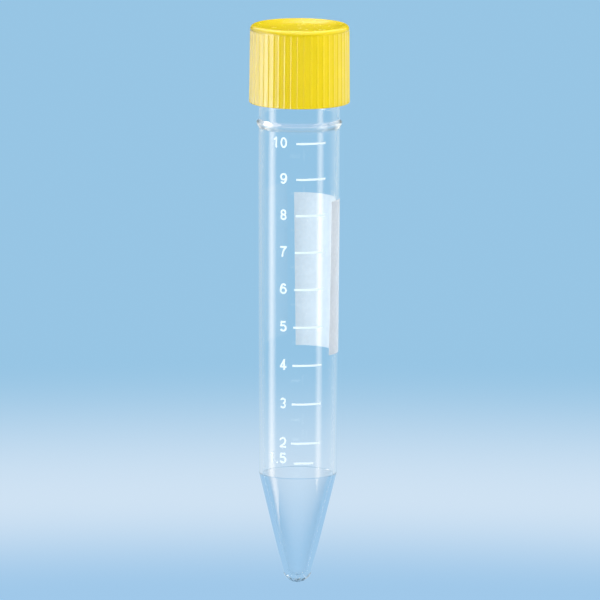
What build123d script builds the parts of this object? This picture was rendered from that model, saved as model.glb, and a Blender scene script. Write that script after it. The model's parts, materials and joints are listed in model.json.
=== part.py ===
"""A 10 ml screw-cap test tube, 100 mm long, with a conical base and a printed scale.

The tube stands on its tip at the origin and its axis is +Z. The scale faces -Y. Lengths are in
millimetres. Angles round the tube are in degrees from the front, growing towards +X.
"""

import os
from math import asin, atan2, cos, degrees, hypot, pi, radians, sin, sqrt

from build123d import *

# Tube, outside
tube_length = 100.0  # tip to rim
tip_ball = 2.7  # radius of the rounded tip
gate_flat = 0.75  # radius of the small flat under the tip
gate_pit = 0.45  # radius of the moulding gate's pit in that flat
gate_depth = 0.15
cone_top = 20.35  # height where the cone meets the body
body_bottom_radius = 7.165
cone_step = 0.04  # the cone starts this far inside the body, below a slanted edge of this height
straight_from = 74.0  # the body widens up to here, and is a true cylinder from here to the collar
shank_radius = 7.46
collar_bottom = 84.6
collar_height = 1.7
collar_radius = 7.875
collar_rise = 0.55  # share of the collar's height where it is widest
collar_flare = 0.35  # sideways run for each unit up where the collar leaves the body
neck_radius = 7.45
lip_round = 0.15

# Tube, inside
floor_thickness = 0.9
inner_ball = 1.95  # radius of the rounded bottom of the inside
inner_cone_radius = 6.534  # inside radius where the cone meets the body
inner_top_radius = 6.96  # inside radius near the mouth
inner_straight_from = 84.85  # the inside is a true cylinder from here to the mouth

# Screw thread, on the neck and in the cap
thread_lead = 3.0
thread_turns = 1.75
thread_root_width = 1.15
thread_tip_width = 0.5
thread_sunk = 0.12  # how far each ridge runs into the wall that carries it
neck_thread_radius = 8.0
neck_thread_bottom = 92.3  # middle of the ridge where it starts
cap_thread_radius = 7.6

# Cap
cap_bottom = 89.25
cap_top = 103.65
cap_bottom_radius = 9.25
cap_top_radius = 9.125
rib_count = 48
rib_depth = 0.08
rib_root_width = 0.44
rib_tip_width = 0.16
rib_phase = -1.7  # angle of the rib nearest the front
rib_top = 102.6
rib_fade = 0.25  # the valleys flare out to the smooth shoulder within this height
rib_sunk = 0.3  # how far each rib runs into the cap's wall
shoulder_round = 0.8
dish_radius = 5.4  # the dish's flat floor
dish_rim_radius = 8.2
dish_depth = 0.75
dish_edge_fall = 0.35  # drop for each unit inwards where the dish leaves its rim
cap_bore_radius = 8.15
cap_plate_bottom = 101.5
cap_edge_round = 0.15

# Seal
seal_radius = 8.0

# Prints
ink = 0.05  # thickness
mark_height = 0.38
mark_arc = 44.2
first_half_arc = 29.6  # the 1.5 ml mark is shorter
mark_start = -4.0  # angle where the marks begin at the top of the scale
mark_step = 0.95  # each lower mark begins this much further left
mark_step_below = 8.6  # ml
half_mark_start = -6.0
number_height = 2.0
number_width = 1.3
number_stroke = 0.33
number_right = -17.3  # angle of the numbers' right-hand edge
number_rise = 0.18  # a number's middle is this far above its mark
half_number_rise = 0.93
number_gap = 0.35
field_bottom = 43.0
field_top = 71.45
field_start = 50.4
field_arc = 133.7
field_lean = 3.3  # turn from the field's bottom edge to its top edge

scale_ml = (1.5, 2, 3, 4, 5, 6, 7, 8, 9, 10)

clear_color = Color(0.75, 0.86, 0.93, 0.4)
cap_color = Color(0.93, 0.83, 0.1)
seal_color = Color(0.9, 0.9, 0.88)
ink_color = Color(1, 1, 1)


def tangent_point(ball_radius, ball_height, far_radius, far_height):
    """Where a line down from (far_radius, far_height) touches a ball centred on the axis."""
    drop = far_height - ball_height
    distance = hypot(far_radius, drop)
    slope = atan2(far_radius, drop) - asin(ball_radius / distance)
    return ball_radius * cos(slope), ball_height - ball_radius * sin(slope)


# The outer ball is cut flat at z = 0, so its centre is a little lower than its radius
tip_centre = sqrt(tip_ball**2 - gate_flat**2)
cone_start = (body_bottom_radius - cone_step, cone_top - cone_step)
inner_centre = floor_thickness + inner_ball
outer_touch = tangent_point(tip_ball, tip_centre, *cone_start)
inner_touch = tangent_point(inner_ball, inner_centre, inner_cone_radius, cone_top)


def body_radius(height):
    """Outside radius of the tube between the cone and the collar."""
    share = min((height - cone_top) / (straight_from - cone_top), 1)
    return body_bottom_radius + share * (shank_radius - body_bottom_radius)


def on_ball(ball_radius, ball_height, radius):
    """A point of the lower half of a ball, at this distance from the axis."""
    return radius, ball_height - sqrt(ball_radius**2 - radius**2)


def spin(outline):
    """The solid that a closed outline of (radius, height) edges sweeps round the axis."""
    return revolve(Plane.XZ * make_face(Curve() + outline), axis=Axis.Z)


def at(angle):
    """A turn that carries the +X direction to this angle from the front."""
    return Rot(0, 0, angle - 90)


# ---------------------------------------------------------------- the inside volume and the scale


def frustum_volume(low_radius, high_radius, height):
    return pi * height / 3 * (low_radius**2 + low_radius * high_radius + high_radius**2)


def volume_below(height):
    """Inside volume in ml up to a height above the cone."""
    bowl_depth = inner_touch[1] - floor_thickness
    bowl = pi * bowl_depth**2 * (3 * inner_ball - bowl_depth) / 3
    cone = frustum_volume(inner_touch[0], inner_cone_radius, cone_top - inner_touch[1])
    share = (height - cone_top) / (inner_straight_from - cone_top)
    radius = inner_cone_radius + share * (inner_top_radius - inner_cone_radius)
    return (bowl + cone + frustum_volume(inner_cone_radius, radius, height - cone_top)) / 1000


def fill_height(millilitres):
    """The height that this much liquid fills the tube to."""
    low, high = cone_top, inner_straight_from
    for _ in range(40):
        middle = (low + high) / 2
        if volume_below(middle) < millilitres:
            low = middle
        else:
            high = middle
    return low


# ---------------------------------------------------------------- screw thread


def thread_ridge(wall_radius, ridge_radius, bottom):
    """A helical ridge of trapezoid section on a wall, pointing outwards or inwards."""
    outwards = 1 if ridge_radius > wall_radius else -1
    root = wall_radius - outwards * thread_sunk
    helix = Helix(pitch=thread_lead, height=thread_turns * thread_lead, radius=root)
    section = Polyline(
        (root, -thread_root_width / 2),
        (wall_radius, -thread_root_width / 2),
        (ridge_radius, -thread_tip_width / 2),
        (ridge_radius, thread_tip_width / 2),
        (wall_radius, thread_root_width / 2),
        (root, thread_root_width / 2),
        close=True,
    )
    ridge = sweep(Plane.XZ * make_face(section), path=helix, is_frenet=True)
    return Pos(0, 0, bottom) * at(0) * ridge


# ---------------------------------------------------------------- tube


def make_tube():
    collar_top = collar_bottom + collar_height
    flat = (gate_flat, 0)
    middle_out = on_ball(tip_ball, tip_centre, (gate_flat + outer_touch[0]) / 2)
    middle_in = on_ball(inner_ball, inner_centre, inner_touch[0] / 2)
    mouth = (inner_top_radius + lip_round, tube_length)
    lip_outside = (neck_radius - lip_round, tube_length)
    outline = [
        Line((0, gate_depth), (gate_pit, gate_depth)),
        Line((gate_pit, gate_depth), (gate_pit, 0)),
        Line((gate_pit, 0), flat),
        ThreePointArc(flat, middle_out, outer_touch),
        Line(outer_touch, cone_start),
        Line(cone_start, (body_bottom_radius, cone_top)),
        Line((body_bottom_radius, cone_top), (shank_radius, straight_from)),
        Line((shank_radius, straight_from), (shank_radius, collar_bottom)),
        Spline(
            (shank_radius, collar_bottom),
            (collar_radius, collar_bottom + collar_rise * collar_height),
            (neck_radius, collar_top),
            tangents=((collar_flare, 1), (-collar_flare, 1)),
        ),
        Line((neck_radius, collar_top), (neck_radius, tube_length - lip_round)),
        RadiusArc((neck_radius, tube_length - lip_round), lip_outside, -lip_round),
        Line(lip_outside, mouth),
        RadiusArc(mouth, (inner_top_radius, tube_length - lip_round), -lip_round),
        Line((inner_top_radius, tube_length - lip_round), (inner_top_radius, inner_straight_from)),
        Line((inner_top_radius, inner_straight_from), (inner_cone_radius, cone_top)),
        Line((inner_cone_radius, cone_top), inner_touch),
        ThreePointArc(inner_touch, middle_in, (0, floor_thickness)),
        Line((0, floor_thickness), (0, gate_depth)),
    ]
    body = spin(outline)
    return body + thread_ridge(neck_radius, neck_thread_radius, neck_thread_bottom)


# ---------------------------------------------------------------- cap


def make_rib():
    """One grip rib along +X, drafted with the cap's side."""
    foot = cap_bottom + cap_edge_round
    root_bottom = cap_bottom_radius - rib_depth - rib_sunk
    root_top = cap_top_radius - rib_depth - rib_sunk
    side = Polyline(
        (root_bottom, foot),
        (cap_bottom_radius, foot),
        (cap_top_radius, rib_top),
        (root_top, rib_top),
        close=True,
    )
    slab = extrude(Plane.XZ * make_face(side), amount=rib_root_width, both=True)
    # Seen from above, the rib's flanks keep their slope down into the wall
    flank = (rib_root_width - rib_tip_width) / 2 / rib_depth
    root_width = rib_root_width + 2 * flank * rib_sunk
    draft = cap_bottom_radius - cap_top_radius
    section = Polyline(
        (root_bottom - draft, -root_width / 2),
        (cap_bottom_radius, -rib_tip_width / 2),
        (cap_bottom_radius, rib_tip_width / 2),
        (root_bottom - draft, root_width / 2),
        close=True,
    )
    return slab & extrude(make_face(section), amount=cap_top)


def make_cap():
    valley_bottom = cap_bottom_radius - rib_depth
    valley_top = cap_top_radius - rib_depth
    fade_low = (valley_top, rib_top - rib_fade / 2)
    fade_high = (cap_top_radius, rib_top + rib_fade)
    shoulder_low = (cap_top_radius, cap_top - shoulder_round)
    shoulder_top = (cap_top_radius - shoulder_round, cap_top)
    edge_low = (valley_bottom - cap_edge_round, cap_bottom)
    edge_high = (valley_bottom, cap_bottom + cap_edge_round)
    dish_rim = (dish_rim_radius, cap_top)
    dish_foot = (dish_radius, cap_top - dish_depth)
    outline = [
        Line((0, cap_plate_bottom), (cap_bore_radius, cap_plate_bottom)),
        Line((cap_bore_radius, cap_plate_bottom), (cap_bore_radius, cap_bottom)),
        Line((cap_bore_radius, cap_bottom), edge_low),
        RadiusArc(edge_low, edge_high, -cap_edge_round),
        Line(edge_high, fade_low),
        Line(fade_low, fade_high),
        Line(fade_high, shoulder_low),
        RadiusArc(shoulder_low, shoulder_top, -shoulder_round),
        Line(shoulder_top, dish_rim),
        Spline(dish_rim, dish_foot, tangents=((-1, -dish_edge_fall), (-1, 0))),
        Line(dish_foot, (0, cap_top - dish_depth)),
        Line((0, cap_top - dish_depth), (0, cap_plate_bottom)),
    ]
    rib = make_rib()
    ribs = [at(rib_phase + i * 360 / rib_count) * rib for i in range(rib_count)]
    # The cap's ridge runs half a lead below the neck's, so the two never meet
    ridge_bottom = neck_thread_bottom - thread_lead / 2
    ridge = thread_ridge(cap_bore_radius, cap_thread_radius, ridge_bottom)
    return (spin(outline) + ribs) + ridge


def make_seal():
    return Pos(0, 0, tube_length) * extrude(Circle(seal_radius), amount=cap_plate_bottom - tube_length)


# ---------------------------------------------------------------- prints


def ink_ring(bottom, top, arc=360.0):
    """A thin band of ink on the tube's body, from the +X direction round by an arc."""
    outline = Polyline(
        (body_radius(bottom), bottom),
        (body_radius(bottom) + ink, bottom),
        (body_radius(top) + ink, top),
        (body_radius(top), top),
        close=True,
    )
    return revolve(Plane.XZ * make_face(outline), axis=Axis.Z, revolution_arc=arc)


def make_mark(millilitres):
    height = fill_height(millilitres)
    start = mark_start - mark_step * max(0, mark_step_below - millilitres)
    arc = mark_arc
    if millilitres == 1.5:
        start = half_mark_start
        arc = first_half_arc
    return at(start) * ink_ring(height - mark_height / 2, height + mark_height / 2, arc)


def stroke(*lines):
    return trace(lines, number_stroke)


def loop(middle_radius):
    """A round stroke that closes on itself."""
    return Circle(middle_radius + number_stroke / 2) - Circle(middle_radius - number_stroke / 2)


def digit(character):
    """One digit or a point, centred on its middle, drawn in strokes of even width."""
    half = number_stroke / 2
    # The strokes' middle lines lie within +-w across and +-h up
    w = number_width / 2 - half
    h = number_height / 2 - half
    if character == ".":
        return Pos(0, -h) * Rectangle(number_stroke, number_stroke)
    if character == "0":
        return Ellipse(w + half, h + half) - Ellipse(w - half, h - half)
    if character == "1":
        stem = 0.12  # right of the middle
        flag_end = (stem - 0.5, h - 0.42)
        flag = stroke(Line((stem, h), flag_end))
        return Pos(stem, 0) * Rectangle(number_stroke, number_height) + flag
    if character == "2":
        hook = stroke(ThreePointArc((-w, h - w), (0, h), (w, h - w)))
        slope = stroke(Spline((w, h - w), (-w, -h), tangents=((0, -1), (-1, -1.1))))
        return hook + slope + stroke(Line((-w - half, -h), (w + half, -h)))
    if character == "3":
        bowl = h / 2  # the two bowls, one above the other, each open to the left
        opening = 250
        top = CenterArc((0, bowl), bowl, -90, opening)
        bottom = CenterArc((0, -bowl), bowl, 90, -opening)
        return stroke(top) + stroke(bottom)
    if character == "4":
        stem = 0.22  # right of the middle
        bar = -0.42  # below the middle
        upright = Pos(stem, 0) * Rectangle(number_stroke, number_height)
        crossing = Pos(0, bar) * Rectangle(number_width, number_stroke)
        return upright + crossing + stroke(Line((stem, h), (-w, bar)))
    if character == "5":
        bowl_radius = 0.52
        bowl_start = 128  # angle of the bowl's upper end
        bowl_sweep = -283  # clockwise, down to its lower end
        back_top = (-w + 0.14, h)
        back_foot = (-w + 0.04, 0)
        bowl = CenterArc((0, bowl_radius - h), bowl_radius, bowl_start, bowl_sweep)
        return stroke(bowl) + stroke(Line(back_top, back_foot)) + stroke(Line((-w, h), (w, h)))
    if character in "69":
        bowl_radius = w + 0.04
        bowl_middle = bowl_radius - h
        top = 0.04  # how far right of the middle the highest point is
        tip_drop = 0.42
        tip_reach = w - 0.08
        back = EllipticalCenterArc((top, bowl_middle), bowl_radius + top, h - bowl_middle, 90, arc_size=90)
        tip = EllipticalCenterArc((top, h - tip_drop), tip_reach, tip_drop, 20, arc_size=70)
        six = Pos(0, bowl_middle) * loop(bowl_radius) + stroke(back) + stroke(tip)
        return Rot(0, 0, 180) * six if character == "9" else six
    if character == "7":
        slope = Spline((w, h), (-w + 0.3, -h - half), tangents=((-1, -1.2), (0, -1)))
        return stroke(slope) + stroke(Line((-w - half, h), (w + half, h)))
    upper = 0.4  # the 8's upper loop, on a larger lower one
    lower = h - upper
    return Pos(0, h - upper) * loop(upper) + Pos(0, lower - h) * loop(lower)


def make_number(millilitres):
    """The number beside a mark, its digits laid round the tube from right to left."""
    rise = half_number_rise if millilitres == 1.5 else number_rise
    middle = fill_height(millilitres) + rise
    band = ink_ring(middle - number_height, middle + number_height)
    degrees_per_mm = degrees(1 / body_radius(middle))
    right = number_right
    solids = []
    for character in reversed(str(millilitres)):
        width = number_stroke if character == "." else number_width
        angle = right - degrees_per_mm * width / 2
        right -= degrees_per_mm * (width + number_gap)
        facing = Plane(origin=(0, 0, middle), x_dir=(0, 1, 0), z_dir=(1, 0, 0))
        block = extrude(facing * digit(character), amount=2 * shank_radius)
        solids += (at(angle) * block & band).solids()
    return Compound(solids)


def make_field():
    """The writing field, a leaning patch cut from a thin band of the body's surface."""
    reach = 3 * shank_radius
    end = (reach * cos(radians(field_arc)), reach * sin(radians(field_arc)))
    sector = make_face(Polyline((0, 0), (reach, 0), (reach, reach), (-reach, reach), end, close=True))
    ring = Circle(2 * shank_radius) - Circle(shank_radius / 2)
    height = (0, 0, field_top - field_bottom)
    patch = (ring & sector).face()
    leaning = Solid.extrude_linear_with_rotation(patch, center=(0, 0, 0), normal=height, angle=field_lean)
    return ink_ring(field_bottom, field_top) & (Pos(0, 0, field_bottom) * at(field_start) * leaning)


# ---------------------------------------------------------------- export


def label(millilitres):
    return str(millilitres).replace(".", "_")


def save(name, shape, color):
    shape.label = name
    shape.color = color
    export_step(shape, f"parts/{name}.step")


os.makedirs("parts", exist_ok=True)
save("tube", make_tube(), clear_color)
save("screw_cap", make_cap(), cap_color)
save("sealing_disc", make_seal(), seal_color)
save("writing_field", make_field(), ink_color)
for amount in scale_ml:
    save(f"mark_{label(amount)}_ml", make_mark(amount), ink_color)
    save(f"number_{label(amount)}", make_number(amount), ink_color)
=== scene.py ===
"""Looks of the screw-cap test tube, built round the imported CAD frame. Lengths are in metres."""

import json
import math

import bpy
import numpy as np
from mathutils import Matrix, Vector


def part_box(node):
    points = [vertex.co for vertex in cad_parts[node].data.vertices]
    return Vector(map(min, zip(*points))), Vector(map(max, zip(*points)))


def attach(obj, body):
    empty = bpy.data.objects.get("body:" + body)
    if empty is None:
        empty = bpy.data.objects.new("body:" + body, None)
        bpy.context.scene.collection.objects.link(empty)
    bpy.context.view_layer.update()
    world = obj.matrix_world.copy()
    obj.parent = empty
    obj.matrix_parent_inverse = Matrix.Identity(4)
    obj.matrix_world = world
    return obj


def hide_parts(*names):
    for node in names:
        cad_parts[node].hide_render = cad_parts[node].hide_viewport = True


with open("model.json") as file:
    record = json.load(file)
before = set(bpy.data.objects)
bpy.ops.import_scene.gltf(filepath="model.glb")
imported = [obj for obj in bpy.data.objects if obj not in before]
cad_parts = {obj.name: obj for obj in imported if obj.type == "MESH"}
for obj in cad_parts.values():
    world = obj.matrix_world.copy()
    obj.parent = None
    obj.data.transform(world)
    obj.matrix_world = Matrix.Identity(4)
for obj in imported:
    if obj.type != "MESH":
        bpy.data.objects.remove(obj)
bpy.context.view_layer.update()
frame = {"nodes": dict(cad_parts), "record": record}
record = frame["record"]
mounts = {m["name"]: m for m in record["mounts"]}
joints = {j["name"]: j for j in record["behaviour"]["joints"]}

mm = 0.001

# Sizes that the frame gives
tube_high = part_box("tube")[1]
cap_low, cap_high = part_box("screw_cap")
seal_low, seal_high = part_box("sealing_disc")
rim = tube_high[2]
neck_thread_radius = tube_high[0]
shank_radius = mounts["rack_shank"]["dims"]["r_mm"] * mm
cap_turns = joints["cap_turn"]["range_deg"][1] / 360
thread_lead = joints["cap_lift"]["range_m"][1] / cap_turns

# Tube, outside
tip_ball = 2.7 * mm
gate_flat = 0.75 * mm
gate_pit = 0.45 * mm
gate_depth = 0.15 * mm
gate_slope = 0.04 * mm
cone_top = 20.35 * mm
cone_step = 0.04 * mm
body_bottom_radius = 7.165 * mm
straight_from = 74.0 * mm
collar_bottom = 84.6 * mm
collar_height = 1.7 * mm
collar_radius = 7.875 * mm
collar_rise = 0.55
collar_flare = 0.35
neck_radius = shank_radius - 0.01 * mm
lip_round = 0.15 * mm

# Tube, inside
floor_thickness = 0.9 * mm
inner_ball = 1.95 * mm
inner_cone_radius = 6.534 * mm
inner_top_radius = 6.96 * mm
inner_straight_from = 84.85 * mm

# Screw thread
thread_turns = 1.75
thread_root_width = 1.15 * mm
thread_tip_width = 0.5 * mm
neck_thread_bottom = 92.3 * mm
thread_fade = 0.07  # turns over which a ridge's ends sink into the wall

# Cap
cap_bottom_radius = 9.25 * mm
cap_top_radius = 9.125 * mm
rib_count = 48
rib_depth = 0.08 * mm
rib_root_width = 0.44 * mm
rib_tip_width = 0.16 * mm
rib_phase = math.radians(-1.7 - 90)
rib_top = 102.6 * mm
rib_fade = 0.25 * mm
shoulder_round = 0.8 * mm
dish_radius = 5.4 * mm
dish_rim_radius = 8.2 * mm
dish_depth = 0.75 * mm
dish_rise = 0.35
cap_bore_radius = 8.15 * mm
cap_thread_depth = 0.55 * mm
cap_edge_round = 0.15 * mm

# The photograph's view
view_elevation = math.radians(9.1)
view_roll = math.radians(0.255)
view_width = 110.3 * mm
view_distance = 3.0
view_height = 52.5 * mm
view_offset = 0.27 * mm

floor_height = -0.05
floor_half = 12.0


# ------------------------------------------------------------------ outlines and skins


def run(start, end, steps):
    """Points of a straight stretch of an outline, without its last point."""
    share = np.linspace(0, 1, steps, endpoint=False)[:, None]
    return np.array(start) * (1 - share) + np.array(end) * share


def bow(centre, radius, first, last, steps):
    """Points of an arc from one angle to another, in degrees, without its last point."""
    angle = np.radians(np.linspace(first, last, steps, endpoint=False))
    return np.stack([centre[0] + radius * np.cos(angle), centre[1] + radius * np.sin(angle)], axis=1)


def curve(start, end, leaving, arriving, steps):
    """Points of a smooth curve with given end tangents, without its last point."""
    share = np.linspace(0, 1, steps, endpoint=False)[:, None]
    span = math.dist(start, end)
    leaving = np.array(leaving) / math.hypot(*leaving) * span
    arriving = np.array(arriving) / math.hypot(*arriving) * span
    ease = share * share * (3 - 2 * share)
    straight = np.array(start) * (1 - ease) + np.array(end) * ease
    return straight + leaving * share * (1 - share)**2 - arriving * share**2 * (1 - share)


def touch(ball, ball_height, far):
    """Where a line down from a far point touches a ball on the axis: the point and its angle."""
    drop = far[1] - ball_height
    slope = math.atan2(far[0], drop) - math.asin(ball / math.hypot(far[0], drop))
    point = (ball * math.cos(slope), ball_height - ball * math.sin(slope))
    return point, -math.degrees(slope)


def softened(outline, sharp, reach):
    """The outline with a point added close on each side of every sharp corner, so that smooth
    shading turns quickly there. A corner counts as sharp above this many degrees."""
    made = [outline[0]]
    for before, here, after in zip(outline, outline[1:], outline[2:]):
        into, out = here - before, after - here
        turn = math.degrees(abs(math.atan2(into[0] * out[1] - into[1] * out[0], into @ out)))
        lengths = np.linalg.norm(into), np.linalg.norm(out)
        if turn > sharp and lengths[0] > 3 * reach:
            made.append(here - into / lengths[0] * reach)
        made.append(here)
        if turn > sharp and lengths[1] > 3 * reach:
            made.append(here + out / lengths[1] * reach)
    made.append(outline[-1])
    return np.array(made)


def lathe(name, outline, angle, relief=None):
    """A closed skin of revolution from an outline that starts and ends on the axis, with a column of
    points at each angle. relief gives how far the skin stands off the outline's radius, from arrays
    of angle, radius and height."""
    segments = len(angle)
    radius = np.repeat(outline[1:-1, :1], segments, axis=1)
    height = np.repeat(outline[1:-1, 1:], segments, axis=1)
    if relief:
        radius = radius + relief(np.broadcast_to(angle, radius.shape), radius, height)
    rings = np.stack([radius * np.cos(angle), radius * np.sin(angle), height], axis=2).reshape(-1, 3)
    ends = [(0, 0, outline[0, 1]), (0, 0, outline[-1, 1])]
    points = np.concatenate([rings, ends])
    rows = len(outline) - 2
    here = np.arange(segments)
    beside = (here + 1) % segments
    quads = [np.stack([i * segments + here, i * segments + beside,
                       (i + 1) * segments + beside, (i + 1) * segments + here], axis=1)
             for i in range(rows - 1)]
    last = (rows - 1) * segments
    faces = np.concatenate(quads).tolist()
    faces += [(rows * segments, int(b), int(a)) for a, b in zip(here, beside)]
    faces += [(rows * segments + 1, last + int(a), last + int(b)) for a, b in zip(here, beside)]
    mesh = bpy.data.meshes.new(name)
    mesh.from_pydata(points.tolist(), [], faces)
    mesh.update()
    mesh.shade_smooth()
    piece = bpy.data.objects.new(name, mesh)
    bpy.context.scene.collection.objects.link(piece)
    return piece


def even_angles(count):
    return np.arange(count) * 2 * math.pi / count


def eased(share):
    share = np.clip(share, 0, 1)
    return share * share * (3 - 2 * share)


def helical_ridge(angle, height, bottom, depth):
    """How far a screw-thread ridge stands off its wall."""
    turn = ((angle + math.pi / 2) / (2 * math.pi)) % 1
    stand = np.zeros_like(height)
    for lap in range(math.ceil(thread_turns)):
        along = turn + lap
        off = np.abs(height - bottom - thread_lead * along)
        rise = (thread_root_width / 2 - off) / ((thread_root_width - thread_tip_width) / 2)
        ends = np.minimum(along, thread_turns - along) / thread_fade
        stand = np.maximum(stand, depth * eased(rise) * eased(ends))
    return stand


# ------------------------------------------------------------------ materials


class Nodes:
    """A small helper that builds one material's node tree, or adds to a tree that is there."""

    def __init__(self, name, tree=None):
        if tree:
            self.tree = tree
            return
        self.material = bpy.data.materials.new(name)
        self.material.use_nodes = True
        self.tree = self.material.node_tree
        self.tree.nodes.clear()
        self.output = self.add("ShaderNodeOutputMaterial")

    def add(self, kind, inputs=None, **settings):
        node = self.tree.nodes.new(kind)
        for key, value in settings.items():
            setattr(node, key, value)
        for key, value in (inputs or {}).items():
            if isinstance(value, bpy.types.NodeSocket):
                self.tree.links.new(value, node.inputs[key])
            else:
                node.inputs[key].default_value = value
        return node

    def place(self, scale=(1, 1, 1)):
        """Object coordinates in metres, scaled along each axis."""
        coordinates = self.add("ShaderNodeTexCoord").outputs["Object"]
        return self.add("ShaderNodeMapping", {"Vector": coordinates, "Scale": scale}).outputs[0]

    def noise(self, scale, detail=3.0, stretch=(1, 1, 1), roughness=0.5):
        """Noise with features about 1 / scale metres wide."""
        return self.add("ShaderNodeTexNoise", {"Vector": self.place(stretch), "Scale": scale,
                                               "Detail": detail, "Roughness": roughness}).outputs["Fac"]

    def spread(self, value, low, high, from_low=0.3, from_high=0.7, kind="LINEAR"):
        return self.add("ShaderNodeMapRange", {"Value": value, "From Min": from_low, "From Max": from_high,
                                               "To Min": low, "To Max": high},
                        interpolation_type=kind).outputs["Result"]

    def math(self, operation, *values):
        return self.add("ShaderNodeMath", dict(enumerate(values)), operation=operation).outputs[0]

    def bump_at(self, value, middle, reach):
        """1 where the value is at the middle, easing to 0 at this distance from it."""
        away = self.math("ABSOLUTE", self.math("SUBTRACT", value, middle))
        return self.spread(away, 1, 0, 0, reach, "SMOOTHSTEP")

    def blend(self, share, first, second):
        mix = self.add("ShaderNodeMix", data_type="RGBA")
        for socket, value in ((mix.inputs["Factor"], share), (mix.inputs[6], first), (mix.inputs[7], second)):
            if isinstance(value, bpy.types.NodeSocket):
                self.tree.links.new(value, socket)
            else:
                socket.default_value = value
        return mix.outputs[2]

    def bump(self, value, height, strength=1.0, normal=None):
        inputs = {"Height": value, "Distance": height, "Strength": strength}
        if normal:
            inputs["Normal"] = normal
        return self.add("ShaderNodeBump", inputs).outputs["Normal"]

    def show(self, shader):
        self.tree.links.new(shader, self.output.inputs["Surface"])
        return self.material


def clear_plastic():
    """Clear moulded polystyrene: faint flow lines along the tube, a slight haze, more at the collar,
    and an uneven scar where the mould's gate was cut off the tip. Light goes straight on where it
    would be caught in the wall, and through the far side of the collar."""
    n = Nodes("clear_plastic")
    up = n.add("ShaderNodeSeparateXYZ", {"Vector": n.place()}).outputs["Z"]
    at_collar = n.bump_at(up, collar_bottom + collar_height / 2, collar_height)
    haze = n.spread(n.noise(220, 4), 0.0, 0.035)
    flow = n.bump(n.noise(300, 2, stretch=(1, 1, 0.06)), 0.006 * mm, 0.5)
    ripple = n.bump(n.noise(90, 1, stretch=(1, 1, 0.5)), 0.015 * mm, 0.3, flow)
    at_gate = n.spread(up, 1, 0, 0.7 * mm, 1.5 * mm)
    scar = n.bump(n.math("MULTIPLY", n.noise(1500, 2), at_gate), 0.15 * mm, 1.0, ripple)
    glass = n.add("ShaderNodeBsdfPrincipled", {
        "Base Color": (0.985, 0.996, 1.0, 1), "Roughness": n.math("MULTIPLY_ADD", at_collar, 0.18, haze),
        "IOR": 1.59, "Transmission Weight": 1.0, "Normal": scar})
    milk = (0.9, 0.95, 1.0, 1)
    behind = n.add("ShaderNodeBsdfTranslucent", {"Color": milk})
    before = n.add("ShaderNodeBsdfDiffuse", {"Color": milk})
    cloud = n.add("ShaderNodeMixShader", {0: 0.5, 1: behind.outputs[0], 2: before.outputs[0]})
    milky = n.math("MULTIPLY", at_collar, 0.06)
    plastic = n.add("ShaderNodeMixShader", {0: milky, 1: glass.outputs[0], 2: cloud.outputs[0]})
    lets_light = n.add("ShaderNodeBsdfTransparent", {"Color": (0.97, 0.985, 0.99, 1)})
    path = n.add("ShaderNodeLightPath")
    bounces = n.math("MULTIPLY_ADD", at_collar, -2.0, 2.5)
    trapped = n.math("GREATER_THAN", path.outputs["Glossy Depth"], bounces)
    inside = n.math("GREATER_THAN", path.outputs["Transmission Depth"], 1.5)
    far_collar = n.math("MULTIPLY", inside, n.math("GREATER_THAN", at_collar, 0.01))
    passes = n.math("MAXIMUM", path.outputs["Is Shadow Ray"], n.math("MAXIMUM", trapped, far_collar))
    mix = n.add("ShaderNodeMixShader", {0: passes, 1: plastic.outputs[0], 2: lets_light.outputs[0]})
    return n.show(mix.outputs[0])


def cap_plastic():
    """Yellow moulded polyethylene: soft gloss, more on the top, faint mottling, fine mould texture."""
    n = Nodes("cap_plastic")
    cloud = n.noise(160, 4)
    speck = n.noise(2600, 2)
    tint = n.blend(n.spread(cloud, 0, 1), (0.66, 0.51, 0.001, 1), (0.70, 0.54, 0.002, 1))
    tint = n.blend(n.spread(speck, 0, 0.10), tint, (0.79, 0.63, 0.01, 1))
    up = n.add("ShaderNodeSeparateXYZ", {"Vector": n.place()}).outputs["Z"]
    on_side = n.spread(up, 1, 0, cap_high[2] - 1.4 * mm, cap_high[2] - 0.8 * mm)
    rough = n.math("MULTIPLY_ADD", on_side, 0.14, n.spread(n.noise(900, 3), 0.23, 0.28))
    grain = n.bump(speck, 0.004 * mm, 0.4)
    wave = n.bump(cloud, 0.02 * mm, 0.25, grain)
    skin = n.add("ShaderNodeBsdfPrincipled", {
        "Base Color": tint, "Roughness": rough, "Normal": wave, "IOR": 1.5, "Specular IOR Level": 0.2,
        "Subsurface Weight": 0.1, "Subsurface Radius": (1.0, 0.6, 0.05), "Subsurface Scale": 0.6 * mm})
    return n.show(skin.outputs[0])


def seal_plastic():
    """Off-white foamed liner with a fine cell texture."""
    n = Nodes("seal_plastic")
    cells = n.add("ShaderNodeTexVoronoi", {"Vector": n.place(), "Scale": 3500.0}).outputs["Distance"]
    tint = n.blend(n.spread(n.noise(500, 3), 0, 1), (0.78, 0.78, 0.74, 1), (0.88, 0.88, 0.85, 1))
    rough = n.spread(cells, 0.55, 0.75, 0, 1)
    skin = n.add("ShaderNodeBsdfPrincipled", {"Base Color": tint, "Roughness": rough,
                                              "Normal": n.bump(cells, 0.02 * mm, 0.5)})
    return n.show(skin.outputs[0])


def scale_ink():
    """Opaque white print with slightly uneven ink."""
    n = Nodes("scale_ink")
    film = n.noise(4000, 3)
    tint = n.blend(n.spread(film, 0, 1), (0.78, 0.93, 1.0, 1), (0.86, 0.97, 1.0, 1))
    skin = n.add("ShaderNodeBsdfPrincipled", {
        "Base Color": tint, "Roughness": n.spread(film, 0.35, 0.55), "Normal": n.bump(film, 0.004 * mm, 0.6)})
    glow = n.add("ShaderNodeBsdfTranslucent", {"Color": tint})
    mix = n.add("ShaderNodeMixShader", {0: 0.15, 1: skin.outputs[0], 2: glow.outputs[0]})
    return n.show(mix.outputs[0])


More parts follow.
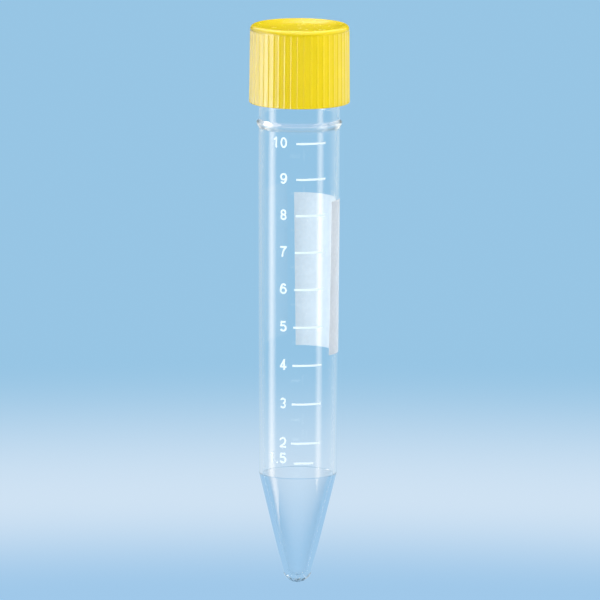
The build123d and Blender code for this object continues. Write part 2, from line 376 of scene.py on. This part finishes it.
def field_ink():
    """The writing field: thin matt white print that lets some light and colour through."""
    n = Nodes("field_ink")
    film = n.noise(1500, 3)
    tint = n.blend(n.spread(film, 0, 1), (0.92, 0.94, 0.96, 1), (0.95, 0.97, 0.99, 1))
    skin = n.add("ShaderNodeBsdfPrincipled", {
        "Base Color": tint, "Roughness": n.spread(film, 0.6, 0.75), "Normal": n.bump(film, 0.003 * mm, 0.4)})
    glow = n.add("ShaderNodeBsdfTranslucent", {"Color": tint})
    print_shader = n.add("ShaderNodeMixShader", {0: 0.5, 1: skin.outputs[0], 2: glow.outputs[0]})
    gap = n.add("ShaderNodeBsdfTransparent")
    mix = n.add("ShaderNodeMixShader", {0: n.spread(film, 0.60, 0.64), 1: gap.outputs[0],
                                        2: print_shader.outputs[0]})
    return n.show(mix.outputs[0])


# ------------------------------------------------------------------ studio

backdrop = (0.31, 0.56, 0.78, 1)
front_wall = (0.40, 0.68, 0.98, 1)
high_back_wall = (0.01, 0.02, 0.02, 1)
low_back_wall = (0.16, 0.32, 0.50, 1)
neutral = (0.42, 0.42, 0.44, 1)

# The cap's sheen takes the colour of the blue room, except straight above and behind
cool = (0.78, 0.82, 1.0)
white = (1, 1, 1)

# The area lights' distance and size, and the distance of those that make the cap's sheen
light_distance, light_size = 1.2, 1.1
sheen_distance = 0.6

# The tall panels beside the tube: their top, and how far out the wide and the narrow ones stand
panel_top = 0.25
wide_distance, strip_distance = 0.2, 0.11

# The floor: a painted pool of light, one soft lighter ring round the tube, and how far out it starts, peaks
# and ends
floor_near = (0.35, 0.58, 0.82, 1)
painted_light_ring = (0.62, 0.76, 0.90, 1)
ring_start, ring_middle, ring_end = 0.27, 0.38, 0.56


def studio_glow(n, place):
    """The lit walls of the studio, by direction from the tube."""
    unit = n.add("ShaderNodeVectorMath", {0: place}, operation="NORMALIZE").outputs[0]
    axes = n.add("ShaderNodeSeparateXYZ", {"Vector": unit})
    azimuth = n.math("ARCTAN2", axes.outputs["X"], n.math("MULTIPLY", axes.outputs["Y"], -1))
    front = n.bump_at(azimuth, 0, math.radians(140))
    above = n.spread(axes.outputs["Z"], 0, 1, -0.02, 0.06, "SMOOTHSTEP")
    below = n.spread(axes.outputs["Z"], 1, 0, -0.4, -0.2, "SMOOTHSTEP")
    back = n.blend(below, n.blend(above, backdrop, high_back_wall), low_back_wall)
    return n.blend(front, back, front_wall)


def floor_paint():
    """Pale blue studio floor, plain but for a painted pool of light: one soft lighter ring round the tube.
    Neutral to matt surfaces.
    """
    n = Nodes("floor_paint")
    away = n.add("ShaderNodeVectorMath", {0: n.place((1, 1, 0))}, operation="LENGTH").outputs["Value"]
    ramp = n.add("ShaderNodeValToRGB", {"Fac": n.spread(away, 0, 1, ring_start, ring_end)})
    ramp.color_ramp.interpolation = "EASE"
    stops = ramp.color_ramp.elements
    stops[0].color = floor_near
    stops[1].color = backdrop
    # painted pool of light: the ring's lighter colour at its peak
    stops.new((ring_middle - ring_start) / (ring_end - ring_start)).color = painted_light_ring
    path = n.add("ShaderNodeLightPath")
    seen = n.blend(path.outputs["Is Diffuse Ray"], ramp.outputs["Color"], neutral)
    n.material.cycles.emission_sampling = "NONE"
    return n.show(n.add("ShaderNodeEmission", {"Color": seen, "Strength": 1.0}).outputs[0])


def studio_world():
    """A plain blue room to the camera and through the clear plastic, and lit walls to the gloss."""
    world = bpy.data.worlds.new("studio")
    bpy.context.scene.world = world
    world.use_nodes = True
    n = Nodes("studio", world.node_tree)
    direction = n.add("ShaderNodeTexCoord").outputs["Generated"]
    path = n.add("ShaderNodeLightPath")
    reflected = n.math("GREATER_THAN", path.outputs["Glossy Depth"], 0.5)
    seen = n.blend(reflected, backdrop, studio_glow(n, direction))
    seen = n.blend(path.outputs["Is Diffuse Ray"], seen, neutral)
    n.tree.links.new(seen, n.tree.nodes["Background"].inputs["Color"])
    world.cycles.sampling_method = "NONE"


# ------------------------------------------------------------------ the object's pieces


def tube_outline():
    """Radius and height points up the outside, over the lip and down the inside."""
    tip_centre = math.sqrt(tip_ball**2 - gate_flat**2)
    inner_centre = floor_thickness + inner_ball
    cone_start = (body_bottom_radius - cone_step, cone_top - cone_step)
    outer_point, outer_angle = touch(tip_ball, tip_centre, cone_start)
    inner_point, inner_angle = touch(inner_ball, inner_centre, (inner_cone_radius, cone_top))
    flat_angle = -math.degrees(math.acos(gate_flat / tip_ball))
    collar_crest = (collar_radius, collar_bottom + collar_rise * collar_height)
    collar_top = collar_bottom + collar_height
    thread_low = neck_thread_bottom - thread_root_width
    thread_high = neck_thread_bottom + thread_lead * thread_turns + thread_root_width
    round_low = rim - lip_round
    pieces = [
        run((0, gate_depth), (gate_pit, gate_depth), 3),
        run((gate_pit, gate_depth), (gate_pit + gate_slope, 0), 2),
        run((gate_pit + gate_slope, 0), (gate_flat, 0), 2),
        bow((0, tip_centre), tip_ball, flat_angle, outer_angle, 16),
        run(outer_point, cone_start, 12),
        run(cone_start, (body_bottom_radius, cone_top), 3),
        run((body_bottom_radius, cone_top), (shank_radius, straight_from), 20),
        run((shank_radius, straight_from), (shank_radius, collar_bottom), 6),
        curve((shank_radius, collar_bottom), collar_crest, (collar_flare, 1), (0, 1), 12),
        curve(collar_crest, (neck_radius, collar_top), (0, 1), (-collar_flare, 1), 12),
        run((neck_radius, collar_top), (neck_radius, thread_low), 6),
        run((neck_radius, thread_low), (neck_radius, thread_high), 66),
        run((neck_radius, thread_high), (neck_radius, round_low), 3),
        bow((neck_radius - lip_round, round_low), lip_round, 0, 90, 6),
        bow((inner_top_radius + lip_round, round_low), lip_round, 90, 180, 6),
        run((inner_top_radius, round_low), (inner_top_radius, inner_straight_from), 5),
        run((inner_top_radius, inner_straight_from), (inner_cone_radius, cone_top), 22),
        run((inner_cone_radius, cone_top), inner_point, 12),
        bow((0, inner_centre), inner_ball, inner_angle, -90, 12),
        [(0, floor_thickness)],
    ]
    return softened(np.concatenate(pieces), 10, 0.015 * mm)


def make_tube():
    depth = neck_thread_radius - neck_radius

    def relief(angle, radius, height):
        outside = radius > (neck_radius + inner_top_radius) / 2
        return outside * helical_ridge(angle, height, neck_thread_bottom, depth)

    tube = lathe("clear_tube", tube_outline(), even_angles(256), relief)
    tube.data.materials.append(clear_plastic())
    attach(tube, "tube")
    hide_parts("tube")
    return tube


def cap_outline():
    """Radius and height points across the dish, down the side and up the bore."""
    bottom, top = cap_low[2], cap_high[2]
    plate = seal_high[2]
    valley_bottom = cap_bottom_radius - rib_depth
    valley_top = cap_top_radius - rib_depth
    dish_floor = top - dish_depth
    thread_low = neck_thread_bottom - thread_lead / 2 - thread_root_width
    thread_high = thread_low + thread_lead * thread_turns + 2 * thread_root_width
    crest = (cap_top_radius - shoulder_round, top)
    fade_high = (cap_top_radius, rib_top + rib_fade)
    fade_low = (valley_top, rib_top - rib_fade / 2)
    bore_low = (cap_bore_radius, bottom + cap_edge_round)
    pieces = [
        run((0, dish_floor), (dish_radius, dish_floor), 8),
        curve((dish_radius, dish_floor), (dish_rim_radius, top), (1, 0), (1, dish_rise), 14),
        curve((dish_rim_radius, top), crest, (1, 0.1), (1, -0.1), 3),
        bow((crest[0], top - shoulder_round), shoulder_round, 90, 0, 10),
        run((cap_top_radius, top - shoulder_round), fade_high, 2),
        curve(fade_high, fade_low, (0, -1), (0, -1), 8),
        run(fade_low, (valley_bottom, bottom + cap_edge_round), 8),
        bow((valley_bottom - cap_edge_round, bottom + cap_edge_round), cap_edge_round, 0, -90, 6),
        run((valley_bottom - cap_edge_round, bottom), (cap_bore_radius + cap_edge_round, bottom), 2),
        run((cap_bore_radius + cap_edge_round, bottom), bore_low, 2),
        run(bore_low, (cap_bore_radius, thread_low), 2),
        run((cap_bore_radius, thread_low), (cap_bore_radius, thread_high), 50),
        run((cap_bore_radius, thread_high), (cap_bore_radius, plate), 3),
        run((cap_bore_radius, plate), (0, plate), 4),
        [(0, plate)],
    ]
    return softened(np.concatenate(pieces), 10, 0.05 * mm)


def rib_angles():
    """Angles round the cap, close together on each rib and wide apart in the valleys."""
    crest = rib_tip_width / 2 / cap_top_radius
    foot = rib_root_width / 2 / cap_top_radius
    pitch = 2 * math.pi / rib_count
    flank = np.linspace(crest, foot, 4)
    one_rib = np.concatenate([-flank[::-1], [0], flank, [foot + (pitch / 2 - foot) * 0.5, pitch / 2]])
    one_rib = np.append(one_rib, pitch - foot - (pitch / 2 - foot) * 0.5)
    return (rib_phase + np.arange(rib_count)[:, None] * pitch + one_rib).ravel()


def make_cap():
    bottom = cap_low[2]
    pitch = 2 * math.pi / rib_count

    def relief(angle, radius, height):
        side = radius > (cap_bore_radius + cap_bottom_radius - rib_depth) / 2
        share = (height - bottom) / (rib_top - bottom)
        crest = cap_bottom_radius + share * (cap_top_radius - cap_bottom_radius)
        off = np.abs((angle - rib_phase + pitch / 2) % pitch - pitch / 2) * cap_top_radius
        ridge = eased((rib_root_width / 2 - off) / ((rib_root_width - rib_tip_width) / 2))
        low = eased((height - bottom) / cap_edge_round)
        ribs = side * (height < rib_top + rib_fade) * low * ridge * np.maximum(crest - radius, 0)
        bore = np.abs(radius - cap_bore_radius) < 0.01 * mm
        start = neck_thread_bottom - thread_lead / 2
        return ribs - bore * helical_ridge(angle, height, start, cap_thread_depth)

    cap = lathe("ribbed_cap", cap_outline(), rib_angles(), relief)
    cap.data.materials.append(cap_plastic())
    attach(cap, "cap")
    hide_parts("screw_cap")
    return cap


def make_seal():
    """The liner, with softly rounded edges and the shallow ring that the tube's lip presses in."""
    low, high, radius = seal_low[2], seal_high[2], seal_high[0]
    round_edge = 0.2 * mm
    press = 0.05 * mm
    press_inside = inner_top_radius - 0.2 * mm
    press_outside = neck_radius + 0.1 * mm
    outline = np.concatenate([
        run((0, low), (press_inside, low), 6),
        [(press_inside, low)],
        run((inner_top_radius, low + press), (neck_radius, low + press), 3),
        run((press_outside, low), (radius - round_edge, low), 3),
        bow((radius - round_edge, low + round_edge), round_edge, -90, 0, 6),
        bow((radius - round_edge, high - round_edge), round_edge, 0, 90, 6),
        run((radius - round_edge, high), (0, high), 5),
        [(0, high)],
    ])
    seal = lathe("liner", outline, even_angles(160))
    seal.data.materials.append(seal_plastic())
    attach(seal, "lift")
    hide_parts("sealing_disc")
    return seal


def paint_prints():
    """The CAD prints keep their shape and take their ink."""
    scale, field = scale_ink(), field_ink()
    prints = {name: node for name, node in frame["nodes"].items()
              if name.startswith(("mark_", "number_", "writing_field"))}
    for name, node in prints.items():
        material = field if name == "writing_field" else scale
        for slot in node.material_slots:
            slot.material = material
        if not node.material_slots:
            node.data.materials.append(material)
    return list(prints.values())


def make_camera():
    data = bpy.data.cameras.new("camera")
    data.sensor_width = 36
    data.lens = data.sensor_width * view_distance / view_width
    data.clip_start, data.clip_end = 0.1, 60
    camera = bpy.data.objects.new("camera", data)
    bpy.context.scene.collection.objects.link(camera)
    back = Vector((0, -math.cos(view_elevation), math.sin(view_elevation)))
    target = Vector((view_offset, 0, view_height))
    turn = (-back).to_track_quat("-Z", "Y") @ Matrix.Rotation(view_roll, 3, "Z").to_quaternion()
    camera.location = target + back * view_distance
    camera.rotation_mode = "QUATERNION"
    camera.rotation_quaternion = turn
    bpy.context.scene.camera = camera


def softbox(name, azimuth, elevation, distance, size, radiance):
    """A soft area light that faces the tube and shows in nothing. Azimuth runs from the camera's
    side towards +X."""
    data = bpy.data.lights.new(name, "AREA")
    data.shape = "DISK"
    data.size = size
    data.energy = radiance * (math.pi * size / 2)**2
    light = bpy.data.objects.new(name, data)
    a, e = math.radians(azimuth), math.radians(elevation)
    out = Vector((math.sin(a) * math.cos(e), -math.cos(a) * math.cos(e), math.sin(e)))
    light.location = Vector((0, 0, view_height)) + out * distance
    light.rotation_mode = "QUATERNION"
    light.rotation_quaternion = out.to_track_quat("Z", "Y")
    light.visible_camera = False
    light.visible_glossy = False
    light.visible_transmission = False
    bpy.context.scene.collection.objects.link(light)
    return light


def card(name, distance, azimuth, reach, foot, color):
    """A tall curved panel that stands on the floor beside the tube and shows only in reflections. It
    is bright in its middle and fades from the tube's collar down to its tip."""
    columns = 24
    bottom, top = floor_height + 1 * mm, panel_top
    angles = np.radians(np.linspace(azimuth - reach, azimuth + reach, columns))
    points = [(distance * math.sin(a), -distance * math.cos(a), z) for z in (bottom, top) for a in angles]
    faces = [(i, i + 1, columns + i + 1, columns + i) for i in range(columns - 1)]
    mesh = bpy.data.meshes.new(name)
    mesh.from_pydata(points, [], faces)
    piece = bpy.data.objects.new(name, mesh)
    n = Nodes(name)
    axes = n.add("ShaderNodeSeparateXYZ", {"Vector": n.place()})
    angle = n.math("ARCTAN2", axes.outputs["X"], n.math("MULTIPLY", axes.outputs["Y"], -1))
    share = n.bump_at(angle, math.radians(azimuth), math.radians(reach))
    share = n.math("MULTIPLY", share, n.spread(axes.outputs["Z"], foot, 1, -0.02, 0.06, "SMOOTHSTEP"))
    gap = n.add("ShaderNodeBsdfTransparent")
    glow = n.add("ShaderNodeEmission", {"Color": color, "Strength": 1.0})
    mix = n.add("ShaderNodeMixShader", {0: share, 1: gap.outputs[0], 2: glow.outputs[0]})
    n.material.cycles.emission_sampling = "NONE"
    mesh.materials.append(n.show(mix.outputs[0]))
    piece.visible_camera = False
    piece.visible_diffuse = False
    piece.visible_transmission = False
    piece.visible_shadow = False
    bpy.context.scene.collection.objects.link(piece)


def lights_only(light, name, pieces):
    """Restricts a light to some pieces."""
    receivers = bpy.data.collections.new(name)
    for piece in pieces:
        receivers.objects.link(piece)
    light.light_linking.receiver_collection = receivers


def make_studio(tube, cap, liner, prints, field):
    scale = [piece for piece in prints if piece != field]
    solid = [cap, liner]
    for name, azimuth, elevation, radiance, pieces in (
            ("left", -85, 10, 1.4, [tube, *solid, *scale]), ("right", 85, 10, 2.0, [tube, *solid, *scale]),
            ("front", 10, 15, 4.3, solid), ("top", 170, 60, 4.4, solid), ("back", 180, 0, 2.4, solid),
            ("print_front", -15, 15, 4.6, scale), ("print_back", -162, 10, 7.5, scale),
            ("field_left", -45, 10, 7.9, [field]), ("field_right", 68, 10, 2.5, [field]),
            ("tube_front", 0, 20, 4.0, [tube]), ("tube_back", 180, 20, 4.0, [tube])):
        lights_only(softbox(name, azimuth, elevation, light_distance, light_size, radiance), name, pieces)
    # The first three stand low, so that they show in the cap's side and not in its top
    for name, azimuth, elevation, size, radiance, color in (
            ("cap_left", -106, -30, 1.1, 11.5, cool), ("cap_left_strip", -78, -14, 0.35, 27.0, cool),
            ("cap_right", 115, -30, 1.0, 3.7, cool), ("cap_back", -174, 45, 0.16, 3.5, white),
            ("shoulder_left", -125, 42, 0.6, 6.0, cool), ("shoulder_right", 120, 42, 0.6, 4.0, cool),
            ("cap_above", 0, 80, 1.0, 7.0, white)):
        sheen = softbox(name, azimuth, elevation, sheen_distance, size, radiance)
        sheen.data.color = color
        sheen.visible_glossy = True
        sheen.visible_diffuse = False
        lights_only(sheen, name, [cap])
    card("left_card", wide_distance, -122, 30, 0.35, (1.0, 0.95, 0.85, 1))
    card("right_card", wide_distance, 116, 28, 0.35, (1.4, 1.35, 1.2, 1))
    card("left_strip", strip_distance, -81, 19, 0.8, (6.4, 5.2, 4.0, 1))
    card("right_strip", strip_distance, 61, 15, 0.7, (5.6, 4.6, 3.5, 1))
    studio_world()
    mesh = bpy.data.meshes.new("floor")
    corners = [(-floor_half, -floor_half, floor_height), (floor_half, -floor_half, floor_height),
               (floor_half, floor_half, floor_height), (-floor_half, floor_half, floor_height)]
    mesh.from_pydata(corners, [], [(0, 1, 2, 3)])
    floor = bpy.data.objects.new("floor", mesh)
    floor.data.materials.append(floor_paint())
    floor.visible_shadow = False
    bpy.context.scene.collection.objects.link(floor)


make_camera()
make_studio(make_tube(), make_cap(), make_seal(), paint_prints(), frame["nodes"]["writing_field"])
bpy.context.scene.view_settings.view_transform = "Standard"
